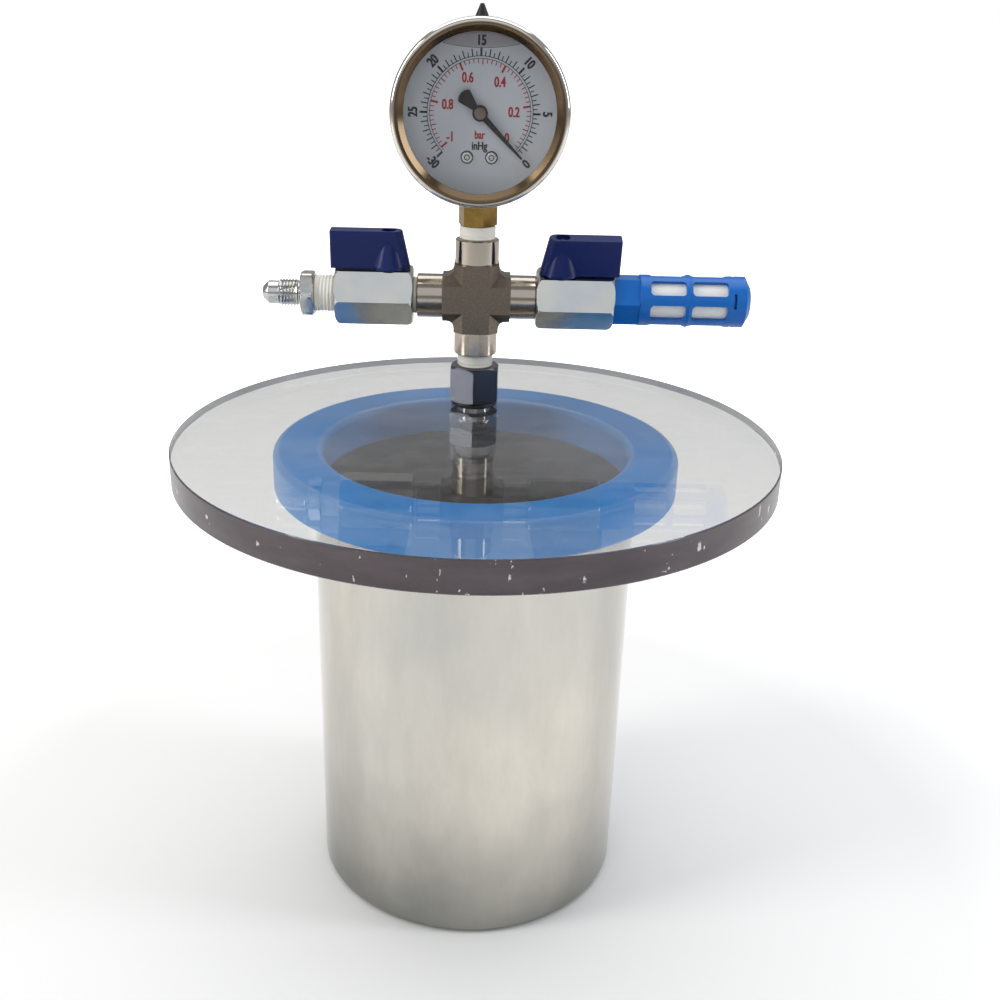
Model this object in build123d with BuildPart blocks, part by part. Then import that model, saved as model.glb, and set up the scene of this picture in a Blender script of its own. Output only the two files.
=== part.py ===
from build123d import *
import math
import os

# Bench vacuum chamber: a deep-drawn pot, a soft gasket ring on its rim and a thick clear disc as its lid.
# A bulkhead fitting through the lid carries a four-way pipe cross with a dial gauge on top, a ball valve
# on each side, a flare connector on the left valve and an air filter on the right one.
#
# Frame: millimetres, +Z up, origin on the table under the pot's axis. The gauge faces -Y.
# Fittings that lie along X are drawn along +X from their own origin, and the gauge is drawn facing +Z.

# ---- pot and gasket ----
pot_radius = 65.0
pot_height = 181.5
pot_wall = 1.2
pot_corner_radius = 4.0
gasket_height = 15.0
gasket_cap = 3.2  # silicone above the pot's rim
gasket_lip = 3.0  # silicone inside the pot
gasket_flange = 15.8  # silicone outside the pot
gasket_round = 2.6
gasket_fit = 0.2  # gap between the rim and its slot

# ---- lid ----
lid_radius = 120.0
lid_thickness = 12.7
lid_edge_chamfer = 0.5
port_offset = 44.0  # the port stands behind the middle of the lid
port_side = -1.2

# ---- quarter-inch pipe sizes, shared by every fitting ----
pipe_thread_radius = 6.8
pipe_thread_gap = 0.05
pipe_bore_radius = 3.9
thread_engagement = 9.5
socket_depth = 11.0
tape_thickness = 0.85
edge_break = 0.4

# ---- bulkhead fitting ----
bulkhead_flats = 20.0
bulkhead_hex_turn = 27.0
bulkhead_hex_height = 15.2
bulkhead_ring_section = 1.0  # radius of the o-ring's round section
bulkhead_thread_radius = 7.0
port_hole_gap = 0.25
washer_radius = 10.0
washer_thickness = 1.5
nut_flats = 19.0
nut_height = 6.0
bulkhead_thread_end = 2.0  # thread left standing below the nut
riser_exposed = 5.3

# ---- pipe cross ----
cross_reach = 24.6  # arms along X
cross_rise = 23.8  # arms along Z
cross_arm_radius = 9.0
cross_body_width = 18.6
cross_body_reach = 14.0
cross_body_chamfer = 3.7
cross_crotch_radius = 3.2
cross_way_radius = 4.6

# ---- ball valves ----
left_valve_gap = 1.5  # taped thread left showing between the cross and the valve
right_valve_gap = 0.0
valve_flats = 22.0
valve_inner_length = 10.0  # hexagon from the cross side to the stem
valve_outer_length = 22.5
valve_crown_radius = 2.6
left_valve_clock = 4.0  # how far each valve's stem leans forward, in degrees
right_valve_clock = 14.0
ball_radius = 6.5
ball_bore_radius = 3.75
seat_gap = 0.05
seat_outer_radius = 6.4
seat_reach = 6.9
cavity_radius = 7.6
retainer_radius = 8.5
retainer_gap = 0.05
retainer_recess = 0.4
stem_radius = 3.0
stem_gap = 0.05
stem_flange_radius = 4.2
stem_flange_height = 0.8
stem_pocket_height = 7.6
stem_tang_width = 2.8
stem_tang_length = 6.0
stem_tang_depth = 1.7
stem_flat_width = 4.4
packing_radius = 4.1
packing_height = 1.6
packing_floor = 8.6

# ---- valve handles ----
handle_clearance = 0.5  # gap over the valve's top flat
handle_height = 15.3
handle_reach = 24.1
handle_heel_top = 5.5
handle_heel_bottom = 8.8
handle_thickness = 7.0
handle_heel_round = 3.3
handle_end_round = 0.9
handle_edge_round = 0.5
boss_radius = 7.3
boss_skirt = 1.2
boss_top_radius = 1.6
screw_head_radius = 2.7
screw_head_height = 1.9
screw_shank_radius = 1.5
screw_pocket_radius = 3.0
screw_pocket_depth = 3.4
screw_length = 9.0
screw_slot_width = 0.7
screw_slot_depth = 0.8
stem_shoulder_height = 8.5  # how far the stem's flats reach up into the handle

# ---- flare connector ----
flare_exposed = 8.6
flare_flats = 17.0
flare_hex_turn = 13.0
flare_hex_length = 5.7
flare_neck_radius = 4.6
flare_neck_length = 1.0
flare_thread_radius = 5.55
flare_thread_length = 8.2
flare_nose_radius = 4.75
flare_nose_length = 4.4
flare_seat_length = 2.3
flare_bore_radius = 2.4

# ---- air filter ----
filter_flats = 18.5
filter_hex_length = 10.2
filter_radius = 10.45
filter_wall = 1.8
filter_length = 41.7
filter_window_start = 4.4
filter_window_length = 14.7
filter_window_gap = 2.5
filter_window_width = 6.6
filter_window_round = 1.6
filter_window_count = 6
filter_window_turn = 9.0
filter_band_height = 0.35
filter_slot_width = 1.1
filter_slot_length = 6.0
filter_slot_count = 4
filter_slot_turn = 38.0
filter_slot_inset = 2.6
element_wall = 3.0
element_gap = 0.15
cap_length = 4.3
cap_chamfer_length = 2.2
cap_chamfer_height = 3.8
cap_spigot_length = 3.0
cap_spigot_gap = 0.1

# ---- gauge ----
bezel_radius = 34.5
gauge_exposed = 5.2
gauge_hex_flats = 14.0
gauge_hex_turn = 34.0
gauge_hex_height = 12.4
gauge_neck_radius = 5.6
gauge_neck_gap = 0.1
gauge_case_wall = 0.8
gauge_case_back = 11.5
gauge_case_front = 14.0
gauge_case_round = 3.0
gauge_flange_gap = 0.2
gauge_flange_thickness = 1.0
bezel_case_gap = 1.9  # between the bezel's skirt and the case
bezel_skirt = 8.6
bezel_wall = 1.1
bezel_width = 5.2  # from the outside to the window's edge
bezel_shoulder = 2.5
bezel_front_inset = 1.9
bezel_lip = 0.9
glass_thickness = 2.0
glass_rim_gap = 0.7
glass_seal_thickness = 1.0
glass_seal_width = 2.4
dial_rim_gap = 0.2
dial_thickness = 0.6
dial_front = 8.6
dial_hole_radius = 1.4
dial_screw_spacing = 9.6
dial_screw_drop = 16.4
dial_screw_head_radius = 2.1
dial_screw_head_height = 1.1
dial_screw_radius = 0.9
dial_screw_length = 5.6
block_width = 16.0
block_depth = 9.0
block_top = -12.0
fill_plug_height = 7.3
fill_plug_radius = 3.4
fill_plug_tip_radius = 0.7
fill_plug_flange_radius = 5.6
fill_plug_flange = 1.0
fill_plug_stem_radius = 3.9
fill_plug_hole_gap = 0.1

# ---- gauge pointer and movement ----
pointer_window_gap = 5.8  # from the pointer's tip to the window's edge
pointer_tip_width = 0.7
pointer_root_width = 2.6
pointer_tail_length = 10.4
pointer_tail_width = 6.2
pointer_thickness = 0.6
pointer_rest_angle = -45.0
pointer_lift = 1.4  # gap between the dial and the pointer's blade
pointer_hub_radius = 3.0
pointer_cap_radius = 2.3
pointer_cap_height = 1.1
arbor_radius = 0.8
arbor_gap = 0.05
plate_width = 13.0
plate_top = 5.0
plate_thickness = 1.0
plate_front = 4.2
plate_back = -3.6
plate_post_radius = 1.1
plate_post_inset = 2.0
arbor_overhang = 0.8
tube_inset = 10.5  # from the case's outside to the middle of the tube
tube_half_width = 4.2
tube_half_thickness = 1.2
tube_start_angle = -68.0
tube_sweep = 258.0
tube_tip_size = 4.6

# ---- sizes of the gauge that follow its bezel ----
gauge_case_radius = bezel_radius - bezel_wall - bezel_case_gap
gauge_flange_radius = bezel_radius - bezel_wall - gauge_flange_gap
bezel_window_radius = bezel_radius - bezel_width
dial_radius = gauge_case_radius - gauge_case_wall - dial_rim_gap
tube_radius = gauge_case_radius - tube_inset
pointer_length = bezel_window_radius - pointer_window_gap

# ---- levels, worked out from the sizes above ----
pot_inner_radius = pot_radius - pot_wall
gasket_inner_radius = pot_inner_radius - gasket_lip
gasket_outer_radius = pot_radius + gasket_flange
lid_bottom_z = pot_height + gasket_cap
lid_top_z = lid_bottom_z + lid_thickness
bulkhead_hex_z = lid_top_z + 2 * bulkhead_ring_section
bulkhead_top_z = bulkhead_hex_z + bulkhead_hex_height
cross_z = bulkhead_top_z + riser_exposed + cross_rise
cross_top_z = cross_z + cross_rise
gauge_hex_z = cross_top_z + gauge_exposed
gauge_z = gauge_hex_z + gauge_hex_height + gauge_case_radius
pipe_socket_radius = pipe_thread_radius + pipe_thread_gap
left_stem_x = port_side - cross_reach - left_valve_gap - valve_inner_length
right_stem_x = port_side + cross_reach + right_valve_gap + valve_inner_length
valve_top = valve_flats / 2
handle_bottom = valve_top + handle_clearance
handle_top = handle_bottom + handle_height
stem_top = handle_bottom + stem_shoulder_height

# ---- places ----
port_floor = Plane((port_side, port_offset, 0))
port_section = Plane(origin=(port_side, port_offset, 0), x_dir=(1, 0, 0), z_dir=(0, -1, 0))
port_axis = Axis((port_side, port_offset, 0), (0, 0, 1))
right_valve_place = Location((right_stem_x, port_offset, cross_z), (right_valve_clock, 0, 0))
left_valve_place = Location((left_stem_x, port_offset, cross_z), (left_valve_clock, 0, 180))
filter_place = Location((right_stem_x + valve_outer_length, port_offset, cross_z))
flare_place = Location(
    (left_stem_x - valve_outer_length, port_offset, cross_z), (flare_hex_turn, 0, 180)
)
gauge_place = Location((port_side, port_offset, gauge_z), (90, 0, 0))

upright = (Align.CENTER, Align.CENTER, Align.MIN)
along_x = (0, 90, 0)


def save(shape, name, place=None):
    """Writes one named piece to parts/, moved to its place in the assembly."""
    placed = shape if place is None else shape.moved(place)
    placed.label = name
    export_step(placed, f"parts/{name}.step")


def outline(plane, points):
    """A closed straight-sided section on a plane."""
    with BuildSketch(plane) as section:
        with BuildLine():
            Polyline(*points, close=True)
        make_face()
    return section.sketch


def hexagon(plane, flats, turn=0.0):
    """A hexagon section with the given width across its flats."""
    with BuildSketch(plane) as section:
        RegularPolygon(flats / 2, 6, major_radius=False, rotation=turn)
    return section.sketch


def crown_points(start, length, flats):
    """Section of a bar whose two ends are turned down to a circle just inside the hexagon's flats."""
    corner = flats / math.sqrt(3)
    rim = flats / 2 - 0.2
    drop = (corner - rim) * math.tan(math.radians(30))
    return [
        (start, 0),
        (start, rim),
        (start + drop, corner),
        (start + length - drop, corner),
        (start + length, rim),
        (start + length, 0),
    ]


def upright_points(points):
    """The same section with its length along the plane's second axis."""
    return [(radius, length) for length, radius in points]


# ---- pot, gasket and lid ----
def make_pot():
    with BuildPart() as pot:
        Cylinder(pot_radius, pot_height, align=upright)
        fillet(pot.faces().sort_by(Axis.Z)[0].edges(), pot_corner_radius)
        offset(amount=-pot_wall, openings=pot.faces().sort_by(Axis.Z)[-1])
    return pot.part


def make_gasket():
    slot_width = pot_wall + 2 * gasket_fit
    slot_height = gasket_height - gasket_cap
    slot_middle = pot_radius - pot_wall / 2
    with BuildPart() as gasket:
        with BuildSketch(Plane.XZ):
            with Locations((gasket_inner_radius, lid_bottom_z)):
                Rectangle(
                    gasket_outer_radius - gasket_inner_radius,
                    gasket_height,
                    align=(Align.MIN, Align.MAX),
                )
            fillet(vertices().group_by(Axis.Y)[-1], gasket_round)
            fillet(vertices().group_by(Axis.Y)[0], gasket_round / 2)
            with Locations((slot_middle, pot_height)):
                Rectangle(
                    slot_width,
                    slot_height,
                    align=(Align.CENTER, Align.MAX),
                    mode=Mode.SUBTRACT,
                )
        revolve(axis=Axis.Z)
    return gasket.part


def make_lid():
    with BuildPart() as lid:
        with BuildSketch(Plane.XY.offset(lid_bottom_z)):
            Circle(lid_radius)
            with Locations((port_side, port_offset)):
                Circle(bulkhead_thread_radius + port_hole_gap, mode=Mode.SUBTRACT)
        extrude(amount=lid_thickness)
        rims = lid.edges().filter_by(GeomType.CIRCLE).group_by(SortBy.RADIUS)[-1]
        chamfer(rims, lid_edge_chamfer)
    return lid.part


# ---- bulkhead fitting and riser ----
def make_bulkhead():
    thread_end = lid_bottom_z - washer_thickness - nut_height - bulkhead_thread_end
    with BuildPart() as bulkhead:
        extrude(hexagon(port_floor.offset(bulkhead_hex_z), bulkhead_flats, bulkhead_hex_turn), bulkhead_hex_height)
        crown = upright_points(crown_points(bulkhead_hex_z, bulkhead_hex_height, bulkhead_flats))
        revolve(outline(port_section, crown), axis=port_axis, mode=Mode.INTERSECT)
        with BuildSketch(port_floor.offset(thread_end)):
            Circle(bulkhead_thread_radius)
        extrude(amount=bulkhead_hex_z - thread_end)
        chamfer(bulkhead.faces().sort_by(Axis.Z)[0].edges(), edge_break)
        with Locations((port_side, port_offset, bulkhead_top_z)):
            CounterBoreHole(
                pipe_bore_radius, pipe_socket_radius, socket_depth, bulkhead_top_z - thread_end
            )
    return bulkhead.part


def make_bulkhead_ring():
    ring_radius = bulkhead_flats / 2 - bulkhead_ring_section - 0.1
    with BuildPart() as ring:
        with Locations((port_side, port_offset, lid_top_z + bulkhead_ring_section)):
            Torus(ring_radius, bulkhead_ring_section)
    return ring.part


def make_washer():
    with BuildPart() as washer:
        with BuildSketch(port_floor.offset(lid_bottom_z - washer_thickness)):
            Circle(washer_radius)
            Circle(bulkhead_thread_radius + port_hole_gap, mode=Mode.SUBTRACT)
        extrude(amount=washer_thickness)
    return washer.part


def make_nut():
    nut_z = lid_bottom_z - washer_thickness - nut_height
    with BuildPart() as nut:
        extrude(hexagon(port_floor.offset(nut_z), nut_flats), nut_height)
        crown = upright_points(crown_points(nut_z, nut_height, nut_flats))
        revolve(outline(port_section, crown), axis=port_axis, mode=Mode.INTERSECT)
        with Locations((port_side, port_offset, nut_z + nut_height)):
            Hole(bulkhead_thread_radius + pipe_thread_gap)
    return nut.part


def make_riser():
    start = bulkhead_top_z - thread_engagement
    end = cross_z - cross_rise + thread_engagement
    with BuildPart() as riser:
        with BuildSketch(port_floor.offset(start)):
            Circle(pipe_thread_radius)
            Circle(pipe_bore_radius, mode=Mode.SUBTRACT)
        extrude(amount=end - start)
        chamfer(riser.edges().filter_by(GeomType.CIRCLE).group_by(SortBy.RADIUS)[-1], edge_break)
    return riser.part


def make_tape(length):
    """A wrap of thread tape, drawn along +X."""
    with BuildPart() as tape:
        with BuildSketch(Plane.YZ):
            Circle(pipe_thread_radius + tape_thickness)
            Circle(pipe_thread_radius, mode=Mode.SUBTRACT)
        extrude(amount=length)
        fillet(
            tape.edges().filter_by(GeomType.CIRCLE).group_by(SortBy.RADIUS)[-1],
            tape_thickness / 2,
        )
    return tape.part


# ---- pipe cross ----
def make_cross():
    reach = cross_body_reach
    with BuildPart() as cross:
        for plane in (Plane.YZ, Plane.XY):
            with BuildSketch(plane.offset(-reach)):
                Rectangle(cross_body_width, cross_body_width)
                chamfer(vertices(), cross_body_chamfer)
            extrude(amount=2 * reach)
        half = cross_body_width / 2
        crotches = [
            edge
            for edge in cross.edges().filter_by(Axis.Y)
            if abs(abs(edge.center().X) - half) < 0.01 and abs(abs(edge.center().Z) - half) < 0.01
        ]
        fillet(crotches, cross_crotch_radius)
        Cylinder(cross_arm_radius, 2 * cross_rise)
        Cylinder(cross_arm_radius, 2 * cross_reach, rotation=along_x)
        rims = [
            edge
            for edge in cross.edges().filter_by(GeomType.CIRCLE)
            if abs(edge.center().X) > cross_reach - edge_break
            or abs(edge.center().Z) > cross_rise - edge_break
        ]
        chamfer(rims, edge_break)
        Cylinder(cross_way_radius, 2 * cross_rise, mode=Mode.SUBTRACT)
        Cylinder(cross_way_radius, 2 * cross_reach, rotation=along_x, mode=Mode.SUBTRACT)
        side_mouth = cross_reach - socket_depth / 2
        end_mouth = cross_rise - socket_depth / 2
        for x, z in ((side_mouth, 0), (-side_mouth, 0), (0, end_mouth), (0, -end_mouth)):
            with Locations((x, 0, z)):
                Cylinder(
                    pipe_socket_radius,
                    socket_depth,
                    rotation=along_x if x else (0, 0, 0),
                    mode=Mode.SUBTRACT,
                )
    return cross.part


# ---- ball valve, drawn with its stem at the origin and its outlet along +X ----
def make_valve_body(gap):
    start = -valve_inner_length
    thread_start = start - thread_engagement - gap
    corner = valve_flats / math.sqrt(3)
    with BuildPart() as body:
        extrude(hexagon(Plane.YZ.offset(start), valve_flats), valve_inner_length + valve_outer_length)
        with BuildSketch(Plane.XY):
            with Locations((start, 0)):
                Rectangle(
                    valve_inner_length + valve_outer_length, corner, align=(Align.MIN, Align.MIN)
                )
            fillet(vertices().group_by(Axis.Y)[-1], valve_crown_radius)
        revolve(axis=Axis.X, mode=Mode.INTERSECT)
        threaded = [
            (thread_start, 0),
            (thread_start, pipe_thread_radius - edge_break),
            (thread_start + edge_break, pipe_thread_radius),
            (start, pipe_thread_radius),
            (start, 0),
        ]
        revolve(outline(Plane.XY, threaded), axis=Axis.X)
        way = [
            (thread_start, 0),
            (thread_start, pipe_bore_radius),
            (-seat_reach - seat_gap, pipe_bore_radius),
            (-seat_reach - seat_gap, cavity_radius),
            (seat_reach + seat_gap, cavity_radius),
            (seat_reach + seat_gap, retainer_radius + retainer_gap),
            (valve_outer_length, retainer_radius + retainer_gap),
            (valve_outer_length, 0),
        ]
        revolve(outline(Plane.XY, way), axis=Axis.X, mode=Mode.SUBTRACT)
        Cylinder(stem_radius + stem_gap, valve_top, align=upright, mode=Mode.SUBTRACT)
        Cylinder(
            stem_flange_radius + stem_gap, stem_pocket_height, align=upright, mode=Mode.SUBTRACT
        )
        with Locations((0, 0, packing_floor)):
            Cylinder(
                packing_radius + stem_gap, valve_top - packing_floor, align=upright, mode=Mode.SUBTRACT
            )
    return body.part


def make_retainer():
    end = valve_outer_length - retainer_recess
    section = [
        (seat_reach + seat_gap, pipe_bore_radius),
        (seat_reach + seat_gap, retainer_radius),
        (end - edge_break, retainer_radius),
        (end, retainer_radius - edge_break),
        (end, pipe_socket_radius),
        (end - socket_depth, pipe_socket_radius),
        (end - socket_depth, pipe_bore_radius),
    ]
    with BuildPart() as retainer:
        revolve(outline(Plane.XY, section), axis=Axis.X)
    return retainer.part


def make_ball():
    with BuildPart() as ball:
        Sphere(ball_radius)
        Cylinder(ball_bore_radius, 2 * ball_radius, rotation=along_x, mode=Mode.SUBTRACT)
        with Locations((0, 0, ball_radius - stem_tang_depth)):
            Box(
                2 * ball_radius,
                stem_tang_width + 4 * stem_gap,
                ball_radius,
                align=upright,
                mode=Mode.SUBTRACT,
            )
    return ball.part


def make_seats():
    """The two seat rings, one on each side of the ball."""
    with BuildPart() as seats:
        for side in (1, -1):
            section = [
                (side * seat_reach, pipe_bore_radius + seat_gap),
                (side * seat_reach, seat_outer_radius),
                (side * ball_radius / 2, seat_outer_radius),
                (side * ball_radius / 2, pipe_bore_radius + seat_gap),
            ]
            with BuildSketch(Plane.XY) as ring:
                with BuildLine():
                    Polyline(*section, close=True)
                make_face()
                Circle(ball_radius + seat_gap, mode=Mode.SUBTRACT)
            revolve(ring.sketch, axis=Axis.X)
    return seats.part


def make_stem():
    tang_bottom = ball_radius - stem_tang_depth + stem_gap
    flange_bottom = ball_radius + 2 * stem_gap
    with BuildPart() as stem:
        with BuildSketch(Plane.XY.offset(tang_bottom)):
            Rectangle(stem_tang_length, stem_tang_width)
        extrude(amount=flange_bottom - tang_bottom)
        with BuildSketch(Plane.XY.offset(flange_bottom)):
            Circle(stem_flange_radius)
        extrude(amount=stem_flange_height)
        with BuildSketch(Plane.XY.offset(flange_bottom + stem_flange_height)):
            Circle(stem_radius)
        extrude(amount=handle_bottom - flange_bottom - stem_flange_height)
        with BuildSketch(Plane.XY.offset(handle_bottom)):
            Circle(stem_radius)
            Rectangle(2 * stem_radius, stem_flat_width, mode=Mode.INTERSECT)
        extrude(amount=stem_shoulder_height)
        with Locations((0, 0, stem_top)):
            Hole(screw_shank_radius + stem_gap, stem_shoulder_height)
    return stem.part


def make_packing():
    with BuildPart() as packing:
        with BuildSketch(Plane.XY.offset(packing_floor)):
            Circle(packing_radius)
            Circle(stem_radius + stem_gap, mode=Mode.SUBTRACT)
        extrude(amount=packing_height)
    return packing.part


def make_handle():
    half = handle_thickness / 2
    with BuildPart() as handle:
        with BuildSketch(Plane.XZ.offset(-half)):
            with BuildLine():
                Polyline(
                    (-handle_heel_bottom, handle_bottom),
                    (handle_reach, handle_bottom),
                    (handle_reach, handle_top),
                    (-handle_heel_top, handle_top),
                    close=True,
                )
            make_face()
        extrude(amount=handle_thickness)
        slanted = handle.faces().sort_by(Axis.X)[0].edges().filter_by(Axis.Y, reverse=True)
        fillet(slanted, handle_heel_round)
        fillet(handle.faces().sort_by(Axis.X)[-1].edges().filter_by(Axis.Z), handle_end_round)
        fillet(handle.faces().sort_by(Axis.Z)[-1].edges(), handle_edge_round)
        boss = [
            (0, handle_bottom),
            (boss_radius, handle_bottom),
            (boss_radius, handle_bottom + boss_skirt),
            (boss_top_radius, handle_top - handle_edge_round),
            (0, handle_top - handle_edge_round),
        ]
        revolve(outline(Plane.XZ, boss), axis=Axis.Z)
        with BuildSketch(Plane.XY.offset(handle_bottom)):
            Circle(stem_radius + stem_gap)
            Rectangle(2 * stem_radius + 1, stem_flat_width + 2 * stem_gap, mode=Mode.INTERSECT)
        extrude(amount=stem_shoulder_height, mode=Mode.SUBTRACT)
        with Locations((0, 0, handle_top)):
            CounterBoreHole(
                screw_shank_radius + 2 * stem_gap,
                screw_pocket_radius,
                screw_pocket_depth,
                handle_top - stem_top,
            )
    return handle.part


def make_handle_screw():
    seat = handle_top - screw_pocket_depth
    with BuildPart() as screw:
        with BuildSketch(Plane.XY.offset(seat)):
            Circle(screw_head_radius)
        extrude(amount=screw_head_height)
        fillet(screw.faces().sort_by(Axis.Z)[-1].edges(), screw_head_height / 3)
        with BuildSketch(Plane.XY.offset(seat)):
            Circle(screw_shank_radius)
        extrude(amount=-screw_length)
        with Locations((0, 0, seat + screw_head_height)):
            for turn in (0, 90):
                Box(
                    2 * screw_head_radius * 0.7,
                    screw_slot_width,
                    2 * screw_slot_depth,
                    rotation=(0, 0, turn),
                    mode=Mode.SUBTRACT,
                )
    return screw.part


# ---- flare connector, drawn along +X from the valve's end face ----
def make_flare():
    hex_end = flare_exposed + flare_hex_length
    thread_start = hex_end + flare_neck_length
    thread_end = thread_start + flare_thread_length
    nose_end = thread_end + flare_nose_length
    tip = nose_end + flare_seat_length
    section = [
        (-thread_engagement, flare_bore_radius),
        (-thread_engagement, pipe_thread_radius - edge_break),
        (-thread_engagement + edge_break, pipe_thread_radius),
        (flare_exposed, pipe_thread_radius),
        (hex_end, flare_neck_radius),
        (thread_start, flare_neck_radius),
        (thread_start, flare_thread_radius - edge_break),
        (thread_start + edge_break, flare_thread_radius),
        (thread_end - edge_break, flare_thread_radius),
        (thread_end, flare_nose_radius),
        (nose_end, flare_nose_radius),
        (tip, flare_nose_radius - flare_seat_length),
        (tip, flare_bore_radius),
    ]
    with BuildPart() as flare:
        extrude(hexagon(Plane.YZ.offset(flare_exposed), flare_flats), flare_hex_length)
        crown = crown_points(flare_exposed, flare_hex_length, flare_flats)
        revolve(outline(Plane.XY, crown), axis=Axis.X, mode=Mode.INTERSECT)
        revolve(outline(Plane.XY, section), axis=Axis.X)
        Cylinder(flare_bore_radius, 4 * tip, rotation=along_x, mode=Mode.SUBTRACT)
    return flare.part


# ---- air filter, drawn along +X from the valve's end face ----
def make_filter_cage():
    start = filter_hex_length
    end = start + filter_length
    inner = filter_radius - filter_wall
    window_pitch = filter_window_length + filter_window_gap
    with BuildPart() as cage:
        extrude(hexagon(Plane.YZ, filter_flats), filter_hex_length)
        barrel = [
            (-thread_engagement, 0),
            (-thread_engagement, pipe_thread_radius - edge_break),
            (-thread_engagement + edge_break, pipe_thread_radius),
            (0, pipe_thread_radius),
            (start, pipe_thread_radius),
            (start, filter_radius - edge_break),
            (start + edge_break, filter_radius),
            (end, filter_radius),
            (end, 0),
        ]
        revolve(outline(Plane.XY, barrel), axis=Axis.X)
        band_start = start + filter_window_start + filter_window_length
        band = [
            (band_start, inner),
            (band_start, filter_radius),
            (band_start + filter_window_gap / 2, filter_radius + filter_band_height),
            (band_start + filter_window_gap, filter_radius),
            (band_start + filter_window_gap, inner),
        ]
        revolve(outline(Plane.XY, band), axis=Axis.X)
        hollow = [
            (-thread_engagement, 0),
            (-thread_engagement, pipe_bore_radius),
            (start + filter_wall / 2, pipe_bore_radius),
            (start + filter_wall / 2, inner),
            (end, inner),
            (end, 0),
        ]
        revolve(outline(Plane.XY, hollow), axis=Axis.X, mode=Mode.SUBTRACT)
        for turn in range(filter_window_count):
            angle = filter_window_turn + turn * 360 / filter_window_count
            side = Plane.XY.rotated((angle, 0, 0))
            for row in range(2):
                middle = start + filter_window_start + filter_window_length / 2 + row * window_pitch
                with BuildSketch(side.offset(inner / 2)):
                    with Locations((middle, 0)):
                        RectangleRounded(
                            filter_window_length, filter_window_width, filter_window_round
                        )
                extrude(amount=filter_radius, mode=Mode.SUBTRACT)
        for turn in range(filter_slot_count):
            angle = filter_slot_turn + turn * 360 / filter_slot_count
            with BuildSketch(Plane.XY.rotated((angle, 0, 0)).offset(inner / 2)):
                with Locations((end - filter_slot_inset, 0)):
                    Rectangle(filter_slot_width, filter_slot_length)
            extrude(amount=filter_radius, mode=Mode.SUBTRACT)
    return cage.part


def make_filter_element():
    start = filter_hex_length + filter_wall / 2
    end = filter_hex_length + filter_length - cap_spigot_length
    outer = filter_radius - filter_wall - element_gap
    with BuildPart() as element:
        with BuildSketch(Plane.YZ.offset(start)):
            Circle(outer)
            Circle(outer - element_wall, mode=Mode.SUBTRACT)
        extrude(amount=end - start)
    return element.part


def make_filter_cap():
    joint = filter_hex_length + filter_length
    end = joint + cap_length
    spigot_radius = filter_radius - filter_wall - cap_spigot_gap
    section = [
        (joint - cap_spigot_length, 0),
        (joint - cap_spigot_length, spigot_radius),
        (joint, spigot_radius),
        (joint, filter_radius),
        (end - cap_chamfer_length, filter_radius),
        (end, filter_radius - cap_chamfer_height),
        (end, 0),
    ]
    with BuildPart() as cap:
        revolve(outline(Plane.XY, section), axis=Axis.X)
    return cap.part


# ---- gauge, drawn facing +Z with its stem pointing along -Y ----
def make_gauge_case():
    depth = gauge_case_front + gauge_case_back
    with BuildPart() as case:
        with BuildSketch(Plane.XY.offset(-gauge_case_back)):
            Circle(gauge_case_radius)
        extrude(amount=depth)
        fillet(case.faces().sort_by(Axis.Z)[0].edges(), gauge_case_round)
        offset(amount=-gauge_case_wall, openings=case.faces().sort_by(Axis.Z)[-1])
        with BuildSketch(Plane.XY.offset(gauge_case_front)):
            Circle(gauge_flange_radius)
            Circle(gauge_case_radius - gauge_case_wall, mode=Mode.SUBTRACT)
        extrude(amount=-gauge_flange_thickness)
        with BuildSketch(Plane.XZ.offset(gauge_case_radius / 2)):
            Circle(gauge_neck_radius + gauge_neck_gap)
        extrude(amount=gauge_case_radius, mode=Mode.SUBTRACT)
        with BuildSketch(Plane.XZ.offset(-gauge_case_radius / 2)):
            Circle(fill_plug_stem_radius + fill_plug_hole_gap)
        extrude(amount=-gauge_case_radius, mode=Mode.SUBTRACT)
    return case.part


def make_gauge_socket():
    """Brass socket: male pipe thread, hexagon, neck through the case and the block inside it."""
    hex_bottom = -gauge_case_radius - gauge_hex_height
    thread_bottom = hex_bottom - gauge_exposed - thread_engagement
    neck_top = -gauge_case_radius + 3 * gauge_case_wall
    block_height = block_top - neck_top
    with BuildPart() as socket:
        extrude(hexagon(Plane.XZ.offset(-hex_bottom), gauge_hex_flats, gauge_hex_turn), -gauge_hex_height)
        crown = upright_points(crown_points(hex_bottom, gauge_hex_height, gauge_hex_flats))
        revolve(outline(Plane.XY, crown), axis=Axis.Y, mode=Mode.INTERSECT)
        shank = [
            (0, thread_bottom),
            (pipe_thread_radius - edge_break, thread_bottom),
            (pipe_thread_radius, thread_bottom + edge_break),
            (pipe_thread_radius, hex_bottom),
            (gauge_neck_radius, hex_bottom),
            (gauge_neck_radius, neck_top),
            (0, neck_top),
        ]
        revolve(outline(Plane.XY, shank), axis=Axis.Y)
        with Locations((0, neck_top + block_height / 2, 0)):
            Box(block_width, block_height, block_depth)
        pad_height = dial_front - dial_thickness - block_depth / 2
        with BuildSketch(Plane.XY.offset(block_depth / 2)):
            with Locations(*dial_screw_places()):
                Circle(dial_screw_head_radius)
        extrude(amount=pad_height)
        bottom = Plane.XZ.offset(-thread_bottom)
        with BuildSketch(bottom):
            Circle(pipe_bore_radius / 2)
        extrude(amount=thread_bottom - block_top + dial_screw_radius, mode=Mode.SUBTRACT)
        with BuildSketch(Plane.XY.offset(dial_front)):
            with Locations(*dial_screw_places()):
                Circle(dial_screw_radius + arbor_gap)
        extrude(amount=-dial_screw_length, mode=Mode.SUBTRACT)
    return socket.part


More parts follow.
